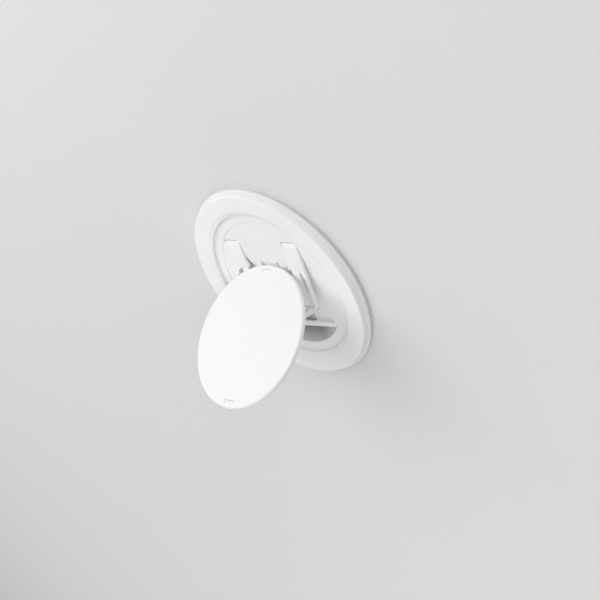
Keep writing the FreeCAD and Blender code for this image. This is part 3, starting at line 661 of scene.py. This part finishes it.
for start, end, hinge in bars:
    prop_shells.append(rod(KNUCKLE_RADIUS, start, end, hinge, edge=KNUCKLE_EDGE))
flange_corners = box_corners(FLANGE_INNER, FLANGE_LOW, FLANGE_OUTER, FLANGE_HIGH)
for side in (1, -1):
    flange_plan = eased(flange_corners * (side, 1), 0.1)
    prop_shells.append(slab(flange_plan, [], FLANGE_UNDER, LEG_HIGH - SKIN, 0.06))
shaft_bore = rod(SHAFT_BORE, -PROP_REACH, PROP_REACH, SHAFT_HINGE)
pin_seats = rod(DISC_PIN_SEAT, -PROP_REACH, PROP_REACH, DISC_HINGE)
prop = fuse("prop_frame", prop_shells, [shaft_bore, pin_seats])
swing_open(prop, SHAFT_HINGE, PROP_SWING, hinges["prop_hinge"])
fit_piece("prop_frame", prop, coated_white, "prop", ["prop_link"])
finish_node("disc_pivot_pins", drawn_steel)


# Disc carrier: the disc's moulded back plate. Two ears stand behind it for the hinge pins, and two
# clips at its edges reach forward into the windows of the front.
DISC_LEAN = -54.796
CARRIER_RADIUS = 18.8
CARRIER_BACK, CARRIER_FRONT = 1.78, 2.33
EAR_INNER, EAR_OUTER, EAR_ROOT = 11.22, 11.72, 2.05
EAR_BORE, EAR_REACH = 0.29, 12.5
WINDOW_PLACE = 17.67
CLIP_HALF_W, CLIP_HALF_H, CLIP_DROP = 1.74, 0.37, 0.02
CLIP_ROOT, CLIP_TOP = 1.98, 2.83


def rectangle(half_width, half_height, middle, radius):
    """A rectangle with rounded corners, centred across the disc at a height along it."""
    corners = box_corners(-half_width, -half_height, half_width, half_height)
    return eased(corners, radius) + (0, middle)


carrier_corners = box_corners(0, CARRIER_BACK, CARRIER_RADIUS, CARRIER_FRONT)
carrier_shells = [lathe(eased(carrier_corners, [0, 0.12, 0.04, 0]))]
stem = box_corners(
    DISC_HINGE - KNUCKLE_RADIUS, HINGE_HEIGHT, DISC_HINGE + KNUCKLE_RADIUS, EAR_ROOT
)
for low, high in ((EAR_INNER, EAR_OUTER), (-EAR_OUTER, -EAR_INNER)):
    carrier_shells.append(crossways(slab(stem, [], low, high, 0.06)))
    carrier_shells.append(rod(KNUCKLE_RADIUS, low, high, DISC_HINGE, edge=KNUCKLE_EDGE))
for middle in (WINDOW_PLACE, -WINDOW_PLACE):
    clip_plan = rectangle(CLIP_HALF_W, CLIP_HALF_H, middle - CLIP_DROP, 0.1)
    carrier_shells.append(slab(clip_plan, [], CLIP_ROOT, CLIP_TOP, 0.05))
carrier = fuse("disc_back", carrier_shells, [rod(EAR_BORE, -EAR_REACH, EAR_REACH, DISC_HINGE)])
swing_open(carrier, DISC_HINGE, DISC_LEAN, hinges["disc_hinge"])
fit_piece("disc_back", carrier, satin_white, "disc", ["disc_carrier"])


# Disc cover: the round white front, a shallow moulded cup snapped over the carrier. Its edge is
# softly rounded, and a small window near the top and the bottom shows the end of each clip.
DISC_RADIUS = 19.37
DISC_SKIRT = 18.85
DISC_BACK, DISC_INSIDE, DISC_FRONT = 1.78, 2.33, 2.93
WINDOW_HALF_W, WINDOW_HALF_H = 1.8, 0.425
WINDOW_LOW, WINDOW_HIGH = 2.0, 3.3
cup_corners = [
    (0, DISC_INSIDE),
    (DISC_SKIRT, DISC_INSIDE),
    (DISC_SKIRT, DISC_BACK),
    (DISC_RADIUS, DISC_BACK),
    (DISC_RADIUS, DISC_FRONT),
    (0, DISC_FRONT),
]
cup = lathe(eased(cup_corners, [0, 0.05, 0.08, 0.15, 0.5, 0], steps=8), turns=256)
windows = []
for middle in (WINDOW_PLACE, -WINDOW_PLACE):
    window_plan = rectangle(WINDOW_HALF_W, WINDOW_HALF_H, middle, 0.15)
    windows.append(slab(window_plan, [], WINDOW_LOW, WINDOW_HIGH, 0.01))
front = fuse("disc_front", [cup], windows)
swing_open(front, DISC_HINGE, DISC_LEAN, hinges["disc_hinge"])
fit_piece("disc_front", front, satin_white, "disc", ["disc_cover"])


# Floor and light: a plain pale surface under the mounting face, four wide soft lamps round the
# object, the widest from the upper left, and a weak even surround.
FLOOR_HALF, FLOOR_LEVEL = 3.0, -2e-5
LOOK_AT = Vector((0, 0, 0.008))
floor_plan = box_corners(-FLOOR_HALF, -FLOOR_HALF, FLOOR_HALF, FLOOR_HALF)
floor_corners = [(x, y, FLOOR_LEVEL) for x, y in floor_plan]
floor_mesh = bpy.data.meshes.new("floor")
floor_mesh.from_pydata(floor_corners, [], [(0, 1, 2, 3)])
pale_floor = grained(
    "pale_floor", (0.72, 0.72, 0.72), (0.71, 0.71, 0.71), 0.45, 0.55, 0.0004, 0.02
)
floor_mesh.materials.append(pale_floor)
floor = bpy.data.objects.new("floor", floor_mesh)
bpy.context.scene.collection.objects.link(floor)


def soft_lamp(name, place, size, power):
    """A square area lamp that looks at the middle of the object."""
    lamp = bpy.data.lights.new(name, "AREA")
    lamp.size = size
    lamp.energy = power
    holder = bpy.data.objects.new(name, lamp)
    holder.location = place
    holder.rotation_euler = (LOOK_AT - Vector(place)).to_track_quat("-Z", "Y").to_euler()
    bpy.context.scene.collection.objects.link(holder)


soft_lamp("key_lamp", (-0.20, 0.33, 0.44), 0.60, 2.0)
soft_lamp("right_lamp", (0.45, 0.26, 0.36), 0.50, 1.5)
soft_lamp("left_lamp", (-0.50, 0.20, 0.20), 0.50, 0.9)
soft_lamp("back_lamp", (-0.12, -0.45, 0.38), 0.50, 1.4)
world = bpy.data.worlds.new("pale_surround")
world.use_nodes = True
world.node_tree.nodes["Background"].inputs["Color"].default_value = (1, 1, 1, 1)
world.node_tree.nodes["Background"].inputs["Strength"].default_value = 0.2
bpy.context.scene.world = world
bpy.context.scene.view_settings.view_transform = "Standard"

# Camera: above and to the right of the disc, on the photograph's line of sight.
camera = bpy.data.cameras.new("camera")
camera.sensor_width = 36
camera.lens = 82.6
camera.clip_start = 0.01
viewer = bpy.data.objects.new("camera", camera)
right = (0.67426638, -0.40802949, -0.61552968)
up = (-0.06164286, 0.79949386, -0.59750291)
back = (0.73591101, 0.44081913, 0.51391973)
place = (0.269065, 0.153243, 0.186083)
rows = [(*axes, at) for *axes, at in zip(right, up, back, place)]
viewer.matrix_world = Matrix(rows + [(0, 0, 0, 1)])
bpy.context.scene.collection.objects.link(viewer)
bpy.context.scene.camera = viewer
